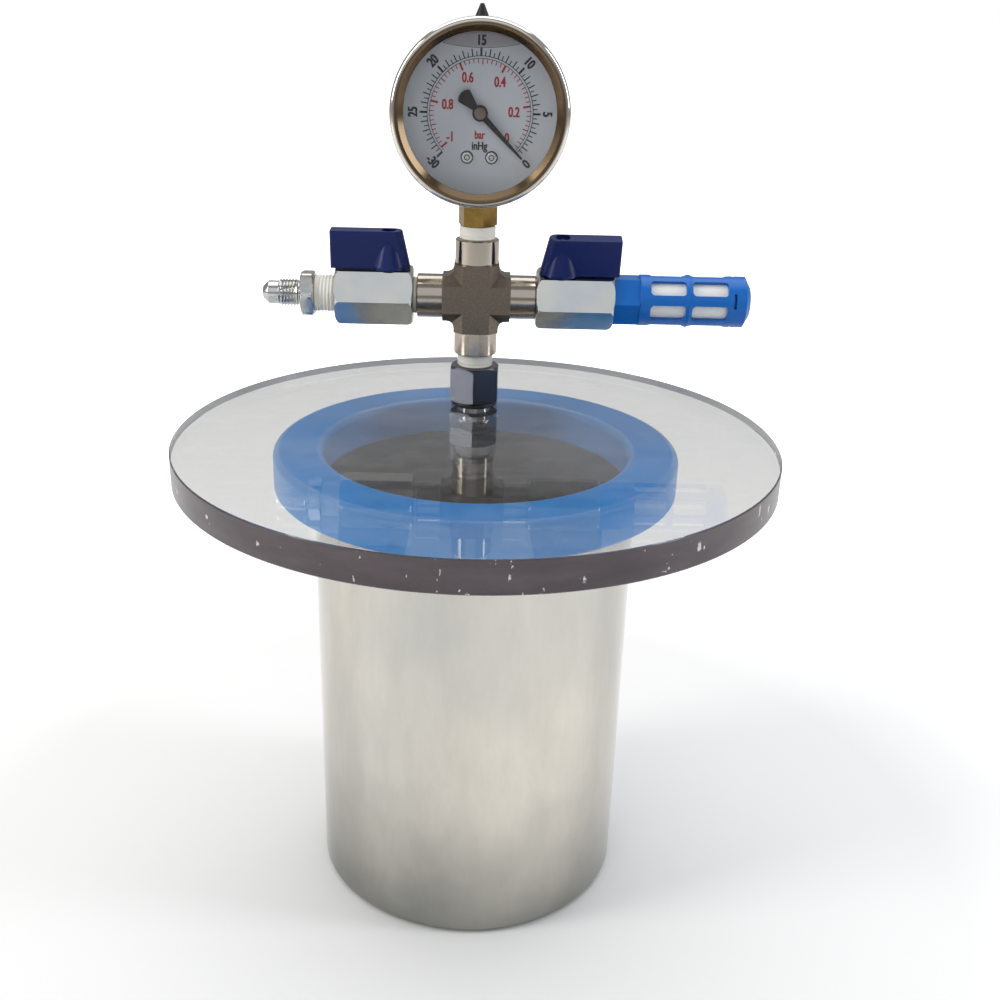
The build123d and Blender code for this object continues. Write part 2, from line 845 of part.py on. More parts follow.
def dial_screw_places():
    """Middles of the two dial screws."""
    return [
        (-dial_screw_spacing / 2, -dial_screw_drop),
        (dial_screw_spacing / 2, -dial_screw_drop),
    ]


def make_dial():
    with BuildPart() as dial:
        with BuildSketch(Plane.XY.offset(dial_front)):
            Circle(dial_radius)
            Circle(dial_hole_radius, mode=Mode.SUBTRACT)
            with Locations(*dial_screw_places()):
                Circle(dial_screw_radius + arbor_gap, mode=Mode.SUBTRACT)
        extrude(amount=-dial_thickness)
    return dial.part


def make_dial_screws():
    with BuildPart() as screws:
        with BuildSketch(Plane.XY.offset(dial_front)):
            with Locations(*dial_screw_places()):
                Circle(dial_screw_head_radius)
        extrude(amount=dial_screw_head_height)
        fillet(screws.edges().group_by(Axis.Z)[-1], dial_screw_head_height / 2)
        with BuildSketch(Plane.XY.offset(dial_front)):
            with Locations(*dial_screw_places()):
                Circle(dial_screw_radius)
        extrude(amount=-dial_screw_length + edge_break)
        with Locations(*[(x, y, dial_front + dial_screw_head_height) for x, y in dial_screw_places()]):
            Box(
                2 * dial_screw_head_radius,
                screw_slot_width,
                dial_screw_head_height,
                mode=Mode.SUBTRACT,
            )
    return screws.part


def make_glass_seal():
    glass_radius = bezel_radius - bezel_wall - glass_rim_gap
    with BuildPart() as seal:
        with BuildSketch(Plane.XY.offset(gauge_case_front)):
            Circle(glass_radius)
            Circle(glass_radius - glass_seal_width, mode=Mode.SUBTRACT)
        extrude(amount=glass_seal_thickness)
    return seal.part


def make_glass():
    with BuildPart() as glass:
        with BuildSketch(Plane.XY.offset(gauge_case_front + glass_seal_thickness)):
            Circle(bezel_radius - bezel_wall - glass_rim_gap)
        extrude(amount=glass_thickness)
    return glass.part


def make_bezel():
    lip_z = gauge_case_front + glass_seal_thickness + glass_thickness
    front_z = lip_z + bezel_lip + bezel_shoulder + edge_break
    inner = bezel_radius - bezel_wall
    with BuildPart() as bezel:
        with BuildSketch(Plane.XZ):
            with BuildLine():
                Polyline(
                    (inner, bezel_skirt),
                    (bezel_radius, bezel_skirt),
                    (bezel_radius, front_z - bezel_shoulder),
                )
                crown = JernArc(
                    (bezel_radius, front_z - bezel_shoulder), (0, 1), bezel_shoulder * 0.8, 125
                )
                Polyline(
                    crown @ 1,
                    (bezel_window_radius, lip_z + bezel_lip),
                    (bezel_window_radius, lip_z),
                    (bezel_window_radius + bezel_lip, lip_z),
                    (inner - bezel_lip, lip_z + bezel_lip * 2),
                    (inner, lip_z + bezel_lip),
                    (inner, bezel_skirt),
                )
            make_face()
        revolve(axis=Axis.Z)
    return bezel.part


def make_fill_plug():
    base = gauge_case_radius
    section = [
        (0, base - 3 * gauge_case_wall),
        (fill_plug_stem_radius, base - 3 * gauge_case_wall),
        (fill_plug_stem_radius, base + edge_break),
        (fill_plug_flange_radius, base + edge_break),
        (fill_plug_flange_radius, base + fill_plug_flange),
        (fill_plug_radius, base + fill_plug_flange),
        (fill_plug_tip_radius, base + fill_plug_height),
        (0, base + fill_plug_height),
    ]
    with BuildPart() as plug:
        revolve(outline(Plane.XY, section), axis=Axis.Y)
        fillet(plug.edges().group_by(Axis.Y)[-1], fill_plug_tip_radius * 0.6)
    return plug.part


def make_pointer():
    blade_z = dial_front + pointer_lift
    hub_bottom = dial_front + pointer_lift / 2
    with BuildPart() as pointer:
        with BuildSketch(Plane.XY.offset(blade_z)):
            with BuildLine():
                tail = ThreePointArc(
                    (-pointer_tail_length * 0.86, -pointer_tail_width / 2),
                    (-pointer_tail_length, 0),
                    (-pointer_tail_length * 0.86, pointer_tail_width / 2),
                )
                Line(tail @ 1, (-pointer_hub_radius, pointer_root_width / 2))
                Line((-pointer_hub_radius, pointer_root_width / 2), (0, pointer_root_width / 2))
                Line((0, pointer_root_width / 2), (pointer_length, pointer_tip_width / 2))
                Line((pointer_length, pointer_tip_width / 2), (pointer_length, -pointer_tip_width / 2))
                Line((pointer_length, -pointer_tip_width / 2), (0, -pointer_root_width / 2))
                Line((0, -pointer_root_width / 2), (-pointer_hub_radius, -pointer_root_width / 2))
                Line((-pointer_hub_radius, -pointer_root_width / 2), tail @ 0)
            make_face()
        extrude(amount=pointer_thickness)
        with BuildSketch(Plane.XY.offset(hub_bottom)):
            Circle(pointer_hub_radius)
        extrude(amount=blade_z + pointer_thickness + edge_break - hub_bottom)
        with BuildSketch(Plane.XY.offset(hub_bottom)):
            Circle(arbor_radius + arbor_gap)
        extrude(amount=blade_z - hub_bottom + pointer_thickness, mode=Mode.SUBTRACT)
    return pointer.part.rotate(Axis.Z, pointer_rest_angle)


def make_pointer_cap():
    base = dial_front + pointer_lift + pointer_thickness + edge_break
    with BuildPart() as cap:
        with BuildSketch(Plane.XY.offset(base)):
            Circle(pointer_cap_radius)
        extrude(amount=pointer_cap_height)
        fillet(cap.faces().sort_by(Axis.Z)[-1].edges(), pointer_cap_height / 2)
    return cap.part


def make_arbor():
    bottom = plate_back - arbor_overhang
    top = dial_front + pointer_lift + pointer_thickness
    with BuildPart() as arbor:
        with BuildSketch(Plane.XY.offset(bottom)):
            Circle(arbor_radius)
        extrude(amount=top - bottom)
    return arbor.part


def make_movement_frame():
    """Two plates on two posts, standing on the socket's block and carrying the pointer's arbor."""
    height = plate_top - block_top
    post_x = plate_width / 2 - plate_post_inset
    with BuildPart() as frame:
        for face_z in (plate_front, plate_back + plate_thickness):
            with BuildSketch(Plane.XY.offset(face_z)):
                with Locations((0, block_top + height / 2)):
                    RectangleRounded(plate_width, height, edge_break)
                Circle(arbor_radius + arbor_gap, mode=Mode.SUBTRACT)
            extrude(amount=-plate_thickness)
        with BuildSketch(Plane.XY.offset(plate_back)):
            with Locations((-post_x, block_top + plate_post_inset), (post_x, block_top + plate_post_inset)):
                Circle(plate_post_radius)
        extrude(amount=plate_front - plate_back)
    return frame.part


def make_bourdon_tube():
    """Flattened tube bent round the gauge's axis, brazed into the block at one end and capped at the other."""
    start = Plane.XZ.rotated((0, 0, tube_start_angle))
    with BuildPart() as tube:
        with BuildSketch(start):
            with Locations((tube_radius, 0)):
                Ellipse(tube_half_thickness, tube_half_width)
        revolve(axis=Axis.Z, revolution_arc=tube_sweep)
        end_angle = math.radians(tube_start_angle + tube_sweep)
        with Locations((tube_radius * math.cos(end_angle), tube_radius * math.sin(end_angle), 0)):
            Box(
                tube_tip_size * 0.8,
                tube_tip_size,
                2 * tube_half_width - tube_tip_size / 4,
                rotation=(0, 0, tube_start_angle + tube_sweep),
            )
        neck_top = -gauge_case_radius + 3 * gauge_case_wall
        block_height = block_top - neck_top
        with Locations((0, neck_top + block_height / 2, 0)):
            Box(block_width, block_height, 4 * block_depth, mode=Mode.SUBTRACT)
    return tube.part.solids().sort_by(SortBy.VOLUME)[-1]


def main():
    os.makedirs("parts", exist_ok=True)
    save(make_pot(), "chamber_pot")
    save(make_gasket(), "lid_gasket")
    save(make_lid(), "lid_disc")
    save(make_bulkhead(), "bulkhead_fitting")
    save(make_bulkhead_ring(), "bulkhead_o_ring")
    save(make_washer(), "bulkhead_washer")
    save(make_nut(), "bulkhead_nut")
    save(make_riser(), "riser_nipple")
    save(make_tape(riser_exposed), "riser_tape", Location((port_side, port_offset, bulkhead_top_z), (0, -90, 0)))
    save(make_cross(), "pipe_cross", Location((port_side, port_offset, cross_z)))

    sides = (
        ("left", left_valve_place, left_valve_gap),
        ("right", right_valve_place, right_valve_gap),
    )
    for side, place, gap in sides:
        save(make_valve_body(gap), f"{side}_valve_body", place)
        save(make_retainer(), f"{side}_valve_retainer", place)
        save(make_ball(), f"{side}_valve_ball", place)
        save(make_seats(), f"{side}_valve_seats", place)
        save(make_stem(), f"{side}_valve_stem", place)
        save(make_packing(), f"{side}_valve_packing", place)
        save(make_handle(), f"{side}_valve_handle", place)
        save(make_handle_screw(), f"{side}_handle_screw", place)

    tape_place = left_valve_place * Location((-valve_inner_length - left_valve_gap, 0, 0))
    save(make_tape(left_valve_gap), "left_valve_tape", tape_place)
    save(make_flare(), "flare_connector", flare_place)
    save(make_tape(flare_exposed), "flare_tape", flare_place)
    save(make_filter_cage(), "filter_cage", filter_place)
    save(make_filter_element(), "filter_element", filter_place)
    save(make_filter_cap(), "filter_cap", filter_place)

    tape_place = gauge_place * Location((0, -gauge_case_radius - gauge_hex_height - gauge_exposed, 0), (0, 0, 90))
    save(make_tape(gauge_exposed), "gauge_tape", tape_place)
    save(make_gauge_socket(), "gauge_socket", gauge_place)
    save(make_gauge_case(), "gauge_case", gauge_place)
    save(make_glass_seal(), "gauge_glass_seal", gauge_place)
    save(make_glass(), "gauge_glass", gauge_place)
    save(make_bezel(), "gauge_bezel", gauge_place)
    save(make_fill_plug(), "gauge_fill_plug", gauge_place)
    save(make_dial(), "gauge_dial", gauge_place)
    save(make_dial_screws(), "gauge_dial_screws", gauge_place)
    save(make_bourdon_tube(), "gauge_bourdon_tube", gauge_place)
    save(make_movement_frame(), "gauge_movement_frame", gauge_place)
    save(make_arbor(), "gauge_arbor", gauge_place)
    save(make_pointer(), "gauge_pointer", gauge_place)
    save(make_pointer_cap(), "gauge_pointer_cap", gauge_place)


main()
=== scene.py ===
import math

import bpy
from mathutils import Matrix, Vector, noise


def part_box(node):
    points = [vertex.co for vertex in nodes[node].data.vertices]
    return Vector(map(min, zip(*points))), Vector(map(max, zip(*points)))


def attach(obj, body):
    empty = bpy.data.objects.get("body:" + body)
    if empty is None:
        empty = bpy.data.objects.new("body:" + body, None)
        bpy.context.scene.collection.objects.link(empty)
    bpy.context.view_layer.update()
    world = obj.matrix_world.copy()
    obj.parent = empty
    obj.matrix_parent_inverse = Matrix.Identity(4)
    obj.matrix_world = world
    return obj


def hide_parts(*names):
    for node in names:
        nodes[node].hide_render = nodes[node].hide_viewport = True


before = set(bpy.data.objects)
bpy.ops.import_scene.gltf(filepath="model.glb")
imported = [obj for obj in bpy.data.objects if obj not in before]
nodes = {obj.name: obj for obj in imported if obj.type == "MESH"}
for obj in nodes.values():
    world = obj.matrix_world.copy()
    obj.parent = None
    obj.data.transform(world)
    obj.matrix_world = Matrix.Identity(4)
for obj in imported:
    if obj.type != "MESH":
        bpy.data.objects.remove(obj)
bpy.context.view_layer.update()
mm = 0.001


# ---- shader helpers: mat is a material, or the world ----
def linear(color):
    """A colour from 0..255 display values to linear light, with alpha 1."""
    out = []
    for value in color:
        v = value / 255
        out.append(v / 12.92 if v <= 0.04045 else ((v + 0.055) / 1.055) ** 2.4)
    return (*out, 1.0)


def new_node(mat, kind, **settings):
    """A shader node with its settings, such as operation."""
    node = mat.node_tree.nodes.new(kind)
    for key, value in settings.items():
        setattr(node, key, value)
    return node


def feed(mat, value, socket):
    """Links an output to the socket, or sets the socket to a plain value."""
    if isinstance(value, bpy.types.NodeSocket):
        mat.node_tree.links.new(value, socket)
    else:
        socket.default_value = value


def shader_of(mat):
    return mat.node_tree.nodes["Principled BSDF"]


def set_shader(mat, **values):
    """Feeds the Principled shader's sockets, named with _ in place of spaces."""
    for key, value in values.items():
        feed(mat, value, shader_of(mat).inputs[key.replace("_", " ")])


def material(name, color, roughness, metallic=0.0, **values):
    """A Principled material."""
    mat = bpy.data.materials.new(name)
    mat.use_nodes = True
    set_shader(mat, Base_Color=linear(color), Roughness=roughness, Metallic=metallic, **values)
    return mat


def object_place(mat):
    return new_node(mat, "ShaderNodeTexCoord").outputs["Object"]


def object_axes(mat):
    """The object's own X, Y and Z as separate outputs."""
    split = new_node(mat, "ShaderNodeSeparateXYZ")
    feed(mat, object_place(mat), split.inputs[0])
    return split.outputs


def noise_field(mat, scale, stretch=(1, 1, 1), detail=3.0, roughness=0.55, offset=(0, 0, 0)):
    """Noise over the object's own coordinates, in 1/m, stretched by axis."""
    mapping = new_node(mat, "ShaderNodeMapping")
    mapping.inputs["Scale"].default_value = stretch
    mapping.inputs["Location"].default_value = offset
    feed(mat, object_place(mat), mapping.inputs["Vector"])
    texture = new_node(mat, "ShaderNodeTexNoise")
    for key, value in (("Scale", scale), ("Detail", detail), ("Roughness", roughness)):
        texture.inputs[key].default_value = value
    feed(mat, mapping.outputs["Vector"], texture.inputs["Vector"])
    return texture.outputs["Fac"]


def combine(mat, operation, *values):
    """A math node over outputs or plain numbers."""
    node = new_node(mat, "ShaderNodeMath", operation=operation)
    for value, socket in zip(values, node.inputs):
        feed(mat, value, socket)
    return node.outputs[0]


def distance_from(mat, middle, keep=(1, 1, 1)):
    """Distance from a point, over the axes that keep has as 1."""
    value = object_place(mat)
    for operation, operand in (("SUBTRACT", middle), ("MULTIPLY", keep)):
        node = new_node(mat, "ShaderNodeVectorMath", operation=operation)
        feed(mat, value, node.inputs[0])
        node.inputs[1].default_value = operand
        value = node.outputs["Vector"]
    length = new_node(mat, "ShaderNodeVectorMath", operation="LENGTH")
    feed(mat, value, length.inputs[0])
    return length.outputs["Value"]


def remap(mat, value, low, high, to_low, to_high):
    """A value's range low..high stretched to to_low..to_high, clamped."""
    node = new_node(mat, "ShaderNodeMapRange")
    for key, number in (("From Min", low), ("From Max", high), ("To Min", to_low), ("To Max", to_high)):
        node.inputs[key].default_value = number
    feed(mat, value, node.inputs["Value"])
    return node.outputs["Result"]


def blend_colors(mat, factor, first, second):
    """From the first colour to the second as factor goes from 0 to 1."""
    node = new_node(mat, "ShaderNodeMix", data_type="RGBA")
    inputs = {socket.identifier: socket for socket in node.inputs}
    for key, color in (("A_Color", first), ("B_Color", second)):
        feed(mat, linear(color) if isinstance(color, tuple) else color, inputs[key])
    feed(mat, factor, inputs["Factor_Float"])
    return next(socket for socket in node.outputs if socket.identifier == "Result_Color")


def vary_color(mat, first, second, low=0.35, high=0.65, **field):
    """Mottles the base colour between two colours."""
    factor = remap(mat, noise_field(mat, **field), low, high, 0.0, 1.0)
    set_shader(mat, Base_Color=blend_colors(mat, factor, first, second))


def vary_roughness(mat, smooth, rough, **field):
    set_shader(mat, Roughness=remap(mat, noise_field(mat, **field), 0.3, 0.7, smooth, rough))


def bump(mat, height, strength=1.0, **field):
    """Raises the surface by up to height metres of noise."""
    node = new_node(mat, "ShaderNodeBump")
    node.inputs["Strength"].default_value = strength
    node.inputs["Distance"].default_value = height
    feed(mat, noise_field(mat, **field), node.inputs["Height"])
    set_shader(mat, Normal=node.outputs["Normal"])


def mix_shaders(mat, factor, first, second):
    mix = new_node(mat, "ShaderNodeMixShader")
    for value, socket in zip((factor, first, second), mix.inputs):
        feed(mat, value, socket)
    return mix.outputs[0]


def finish_clear(mat, shader_output, passed=(255, 255, 255)):
    """Shadow and diffuse rays pass straight through, so what lies behind is lit."""
    rays = new_node(mat, "ShaderNodeLightPath")
    passing = combine(mat, "MAXIMUM", rays.outputs["Is Shadow Ray"], rays.outputs["Is Diffuse Ray"])
    clear = new_node(mat, "ShaderNodeBsdfTransparent")
    clear.inputs["Color"].default_value = linear(passed)
    surface = mix_shaders(mat, passing, shader_output, clear.outputs[0])
    out = next(node for node in mat.node_tree.nodes if node.type == "OUTPUT_MATERIAL")
    feed(mat, surface, out.inputs["Surface"])


# ---- piece helpers ----
turned_crease = 28


def middle_of(name):
    low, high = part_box(name)
    return (low + high) / 2


def wear(material_to_use, *names):
    """Gives CAD nodes a material."""
    for name in names:
        obj = nodes[name]
        if not obj.material_slots:
            obj.data.materials.append(material_to_use)
        for slot in obj.material_slots:
            slot.material = material_to_use


def piece(name, vertices, faces, mat, body, crease=None):
    """A new mesh piece that rides on a CAD body. Edges under crease degrees are shaded smooth."""
    mesh = bpy.data.meshes.new(name)
    mesh.from_pydata([tuple(v) for v in vertices], [], faces)
    mesh.validate()
    mesh.update()
    mesh.materials.append(mat)
    if crease:
        mesh.shade_smooth()
        mesh.set_sharp_from_angle(angle=math.radians(crease))
    obj = bpy.data.objects.new(name, mesh)
    bpy.context.scene.collection.objects.link(obj)
    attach(obj, body)
    return obj


# ---- metals ----
def make_pot_steel():
    """Drawn sheet: upright grain, cool clouds, and painted shade: a darker, ragged band at the foot that
    stands in for the shadowed floor it reflects.
    """
    shade_band_bottom, shade_band_top, raggedness = 0.02, 0.1, 0.07
    steel = material("pot_steel", (214, 207, 196), 0.1, 1.0)
    grain_noise = noise_field(steel, scale=10, stretch=(1, 1, 0.3), detail=12, roughness=0.72)
    grain = remap(steel, grain_noise, 0.3, 0.7, 0, 1)
    sheet = blend_colors(steel, grain, (186, 182, 174), (228, 222, 211))
    clouds = remap(steel, noise_field(steel, scale=7, offset=(2, 5, 1), detail=3), 0.48, 0.68, 0, 0.4)
    clouded = blend_colors(steel, clouds, sheet, (168, 175, 178))
    # Painted shade: the foot is blended to a dark grey, standing in for the shadowed floor reflected low on
    # the pot.
    shade_band_noise = noise_field(steel, scale=14, detail=4)
    height = combine(steel, "MULTIPLY_ADD", shade_band_noise, raggedness, object_axes(steel)["Z"])
    above_painted_shade = remap(steel, height, shade_band_bottom, shade_band_top, 0.0, 1.0)
    set_shader(steel, Base_Color=blend_colors(steel, above_painted_shade, (120, 123, 121), clouded))
    vary_roughness(steel, 0.06, 0.16, scale=11, stretch=(1, 1, 0.2), detail=4)
    bump(steel, 0.00016, 0.6, scale=14, stretch=(1, 1, 0.35), detail=2)
    return steel


def make_fitting_steel():
    steel = material("fitting_steel", (205, 202, 196), 0.17, 1.0)
    vary_color(steel, (190, 193, 196), (208, 204, 196), scale=45, detail=3)
    vary_roughness(steel, 0.13, 0.2, scale=160, detail=3)
    bump(steel, 0.0003, 0.4, scale=110, detail=2)
    return steel


def make_hex_steel():
    steel = material("hex_steel", (96, 98, 106), 0.16, 1.0)
    bump(steel, 0.00008, 0.3, scale=300)
    return steel


def make_cross_steel():
    """A forged body, dull and brown, with turned and polished arms."""
    middle = middle_of("pipe_cross")
    body_reach, step = 14.1 * mm, 0.1 * mm
    steel = material("cross_steel", (132, 123, 113), 0.36, 1.0)
    axes = object_axes(steel)
    reach_x = combine(steel, "ABSOLUTE", combine(steel, "SUBTRACT", axes["X"], middle.x))
    reach_z = combine(steel, "ABSOLUTE", combine(steel, "SUBTRACT", axes["Z"], middle.z))
    furthest = combine(steel, "MAXIMUM", reach_x, reach_z)
    on_arm = remap(steel, furthest, body_reach, body_reach + step, 0.0, 1.0)
    mottle = remap(steel, noise_field(steel, scale=1300, detail=4), 0.35, 0.65, 0, 1)
    forged = blend_colors(steel, mottle, (114, 105, 95), (128, 118, 107))
    set_shader(
        steel,
        Base_Color=blend_colors(steel, on_arm, forged, (174, 165, 154)),
        Roughness=remap(steel, on_arm, 0, 1, 0.4, 0.13),
    )
    bump(steel, 0.00004, 0.35, scale=1400, detail=3)
    return steel


def make_polished_steel():
    steel = material("gauge_steel", (222, 216, 208), 0.08, 1.0)
    vary_roughness(steel, 0.05, 0.14, scale=90)
    return steel


def make_bezel_steel():
    """Bright outside, with a brown tone on the lip that faces the dial."""
    lip_inner, lip_outer = 32.4 * mm, 33.3 * mm
    steel = material("bezel_steel", (222, 216, 208), 0.1, 1.0)
    radius = distance_from(steel, middle_of("gauge_bezel"), keep=(1, 0, 1))
    outside = remap(steel, radius, lip_inner, lip_outer, 0, 1)
    set_shader(
        steel,
        Base_Color=blend_colors(steel, outside, (104, 88, 69), (222, 216, 208)),
        Roughness=remap(steel, outside, 0, 1, 0.2, 0.08),
    )
    return steel


def make_brass():
    brass = material("gauge_brass", (150, 124, 70), 0.22, 1.0)
    vary_color(brass, (130, 104, 54), (150, 122, 68), scale=260, detail=4)
    return brass


# ---- paints, plastics and rubber ----
def make_lever_paint():
    paint = material("lever_paint", (4, 27, 90), 0.36, Coat_Weight=0.08, Coat_Roughness=0.12)
    set_shader(paint, Specular_IOR_Level=0.25)
    bump(paint, 0.00006, 0.4, scale=700, detail=2)
    return paint


def make_silicone():
    silicone = material("gasket_silicone", (2, 134, 214), 0.36, Subsurface_Weight=0.05, Coat_Weight=0.1)
    set_shader(silicone, Subsurface_Radius=(0.002, 0.005, 0.01))
    bump(silicone, 0.0002, 0.25, scale=60)
    return silicone


def make_tape():
    tape = material("thread_tape", (232, 229, 220), 0.5, Subsurface_Weight=0.1)
    set_shader(tape, Subsurface_Radius=(0.001, 0.001, 0.001))
    bump(tape, 0.0003, 0.6, scale=900, detail=4)
    return tape


def make_rubber():
    rubber = material("black_rubber", (16, 16, 17), 0.45)
    bump(rubber, 0.00008, 0.4, scale=700)
    return rubber


def make_filter_plastic():
    plastic = material("filter_plastic", (2, 100, 186), 0.32, Specular_IOR_Level=0.35)
    bump(plastic, 0.00008, 0.3, scale=500)
    return plastic


def make_filter_media():
    media = material("filter_media", (240, 240, 236), 0.9)
    bump(media, 0.0004, 0.8, scale=1600, detail=4)
    return media


def clear_plastic(name, roughness):
    return material(name, (250, 250, 251), roughness, Transmission_Weight=1.0, IOR=1.49)


def make_window_glass():
    glass = clear_plastic("window_glass", 0.0)
    set_shader(glass, Specular_IOR_Level=0.15)
    finish_clear(glass, shader_of(glass).outputs[0])
    return glass


def make_lid_edge(plastic):
    """The sawn edge: dark and scuffed from outside, pale where it is seen through the lid."""
    tone_noise = noise_field(plastic, scale=40, stretch=(1, 1, 4), detail=5)
    sawn = blend_colors(plastic, remap(plastic, tone_noise, 0.3, 0.7, 0, 1), (60, 49, 55), (82, 70, 76))
    nick_noise = noise_field(plastic, scale=300, stretch=(1, 1, 0.6), detail=4, offset=(3, 1, 2))
    nicked = blend_colors(plastic, remap(plastic, nick_noise, 0.665, 0.69, 0.0, 1.0), sawn, (215, 208, 206))
    from_inside = new_node(plastic, "ShaderNodeNewGeometry").outputs["Backfacing"]
    edge = new_node(plastic, "ShaderNodeBsdfPrincipled")
    edge.inputs["Roughness"].default_value = 0.3
    edge.inputs["Coat Weight"].default_value = 0.3
    feed(plastic, blend_colors(plastic, from_inside, nicked, (176, 174, 176)), edge.inputs["Base Color"])
    return edge.outputs[0]


def make_lid_acrylic():
    """Clear, with haze and wipe marks on its faces and a sawn edge."""
    low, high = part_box("lid_disc")
    rim_margin = 0.3 * mm
    rim_start = (high.x - low.x) / 2 - rim_margin
    plastic = clear_plastic("lid_acrylic", 0.004)
    set_shader(plastic, Base_Color=linear((238, 239, 237)))
    haze = new_node(plastic, "ShaderNodeBsdfDiffuse")
    haze.inputs["Color"].default_value = linear((214, 214, 218))
    smear_noise = noise_field(plastic, scale=14, stretch=(1, 1.8, 1), detail=9, roughness=0.7)
    smears = remap(plastic, smear_noise, 0.42, 0.78, 0.02, 0.14)
    face = mix_shaders(plastic, smears, shader_of(plastic).outputs[0], haze.outputs[0])
    radius = distance_from(plastic, (0, 0, 0), keep=(1, 1, 0))
    at_rim = combine(plastic, "GREATER_THAN", radius, rim_start)
    lid = mix_shaders(plastic, at_rim, face, make_lid_edge(plastic))
    finish_clear(plastic, lid, (240, 240, 241))
    return plastic


fitting_steel = make_fitting_steel()
polished = make_polished_steel()
brass = make_brass()
screw_steel = material("screw_steel", (214, 212, 208), 0.2, 1.0)
lever_paint = make_lever_paint()
tape_white = make_tape()
ptfe = material("valve_ptfe", (236, 236, 232), 0.45)
filter_blue = make_filter_plastic()
dial_paint = material("dial_paint", (182, 187, 193), 0.55)
# Painted shade: bubble_shade darkens the dial where the air bubble sits in front of it.
bubble_shade = material("bubble_shade", (150, 149, 156), 0.5)
# The meniscus material also paints the shade in the screw recesses. The black ink also paints the shadow
# around the screw heads.
dark_line = material("meniscus_and_recess_shade", (60, 60, 66), 0.3)
black_ink_and_screw_shadow = material("black_ink_and_screw_shadow", (8, 8, 10), 0.6, Specular_IOR_Level=0.2)
ink_red = material("ink_red", (158, 10, 24), 0.6, Specular_IOR_Level=0.2)

wear(make_pot_steel(), "chamber_pot")
wear(make_silicone(), "lid_gasket")
wear(make_lid_acrylic(), "lid_disc")
wear(make_hex_steel(), "bulkhead_fitting")
wear(fitting_steel, "bulkhead_washer", "bulkhead_nut", "riser_nipple", "gauge_arbor")
wear(make_cross_steel(), "pipe_cross")
wear(brass, "gauge_socket", "gauge_bourdon_tube", "gauge_movement_frame")
wear(make_rubber(), "bulkhead_o_ring", "gauge_glass_seal", "gauge_fill_plug")
wear(polished, "gauge_case")
wear(make_bezel_steel(), "gauge_bezel")
wear(make_window_glass(), "gauge_glass")
wear(dial_paint, "gauge_dial")
wear(material("pointer_paint", (10, 10, 9), 0.6, Specular_IOR_Level=0.2), "gauge_pointer")
wear(material("pointer_metal", (126, 110, 98), 0.35, 1.0), "gauge_pointer_cap")
wear(screw_steel, "gauge_dial_screws")
wear(filter_blue, "filter_cage", "filter_cap")
wear(make_filter_media(), "filter_element")
for side in ("left", "right"):
    wear(fitting_steel, f"{side}_valve_body", f"{side}_valve_retainer", f"{side}_valve_stem")
    wear(polished, f"{side}_valve_ball")
    wear(ptfe, f"{side}_valve_seats", f"{side}_valve_packing")
    wear(lever_paint, f"{side}_valve_handle")
    wear(screw_steel, f"{side}_handle_screw")


# ---- pieces turned on their own axis, to the clocking that the photograph shows ----
def turned_copy(node, name, mat, origin, axis, degrees, moves):
    """A CAD node's mesh in which the faces that moves() picks are turned about an axis through origin."""
    to_origin = Matrix.Translation(origin)
    turn = to_origin @ Matrix.Rotation(math.radians(degrees), 4, axis) @ to_origin.inverted()
    mesh = nodes[node].data
    vertices, faces, index_of = [], [], {}
    for polygon in mesh.polygons:
        moved = moves([mesh.vertices[i].co for i in polygon.vertices])
        face = []
        for i in polygon.vertices:
            if (i, moved) not in index_of:
                index_of[(i, moved)] = len(vertices)
                co = mesh.vertices[i].co
                vertices.append(turn @ co if moved else co.copy())
            face.append(index_of[(i, moved)])
        faces.append(face)
    obj = piece(name, vertices, faces, mat, "chamber", turned_crease)
    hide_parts(node)


def turn_filter_cage():
    """Turns the cage beyond its hexagon, so that a rib faces forward."""
    rib_turn, seam_gap = 39.5, 0.85 * mm
    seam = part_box("filter_element")[0].x - seam_gap
    turned_copy(
        "filter_cage", "filter_cage_turned", filter_blue,
        middle_of("filter_cage"), "X", rib_turn, lambda corners: max(c.x for c in corners) > seam,
    )


def turn_gauge_socket():
    """Turns the socket's hexagon, so that a corner faces forward and a little right."""
    corner_turn, corner_step = 16, 60
    hexagon_height, slack = 12.4 * mm, 0.05 * mm
    hexagon_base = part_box("gauge_tape")[1].z
    axis_point = middle_of("gauge_tape")

    def on_hexagon(corners):
        return all(hexagon_base - slack < c.z < hexagon_base + hexagon_height + slack for c in corners)

    spokes = [v.co - axis_point for v in nodes["gauge_socket"].data.vertices if on_hexagon([v.co])]
    corner = max(spokes, key=lambda v: math.hypot(v.x, v.y))
    corner_angle = math.degrees(math.atan2(corner.x, -corner.y))
    turned_copy(
        "gauge_socket", "gauge_socket_turned", brass,
        axis_point, "Z", (corner_turn - corner_angle) % corner_step, on_hexagon,
    )


turn_filter_cage()
turn_gauge_socket()


# ---- turned pieces, in millimetres along their axis ----
def turned(name, rings, origin, axis, mat, replaced, segments=96):
    """A closed turned piece. Each ring is (distance along the axis, radius or radius by angle)."""
    along = Vector(axis).normalized()
    side = along.orthogonal().normalized()
    other = along.cross(side)
    vertices = []
    for distance, radius in rings:
        for step in range(segments):
            angle = 2 * math.pi * step / segments
            r = radius(angle) if callable(radius) else radius
            spoke = side * math.cos(angle) + other * math.sin(angle)
            vertices.append(Vector(origin) + along * distance * mm + spoke * r * mm)
    faces = []
    for ring in range(len(rings)):
        here, there = ring * segments, (ring + 1) % len(rings) * segments
        for step in range(segments):
            after = (step + 1) % segments
            faces.append((here + step, here + after, there + after, there + step))
    obj = piece(name, vertices, faces, mat, "chamber", turned_crease)
    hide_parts(replaced)


# ---- thread tape: soft ridges, uneven overlaps and rounded ends ----
pipe_radius = 6.8
tape_radius = 7.65
wrap_pitch = 1.41
lump_height, lumps_around, lumps_along, lump_shift = 0.24, 1.6, 0.5, 7
ring_spacing, thinnest, skin = 0.12, 0.05, 0.01


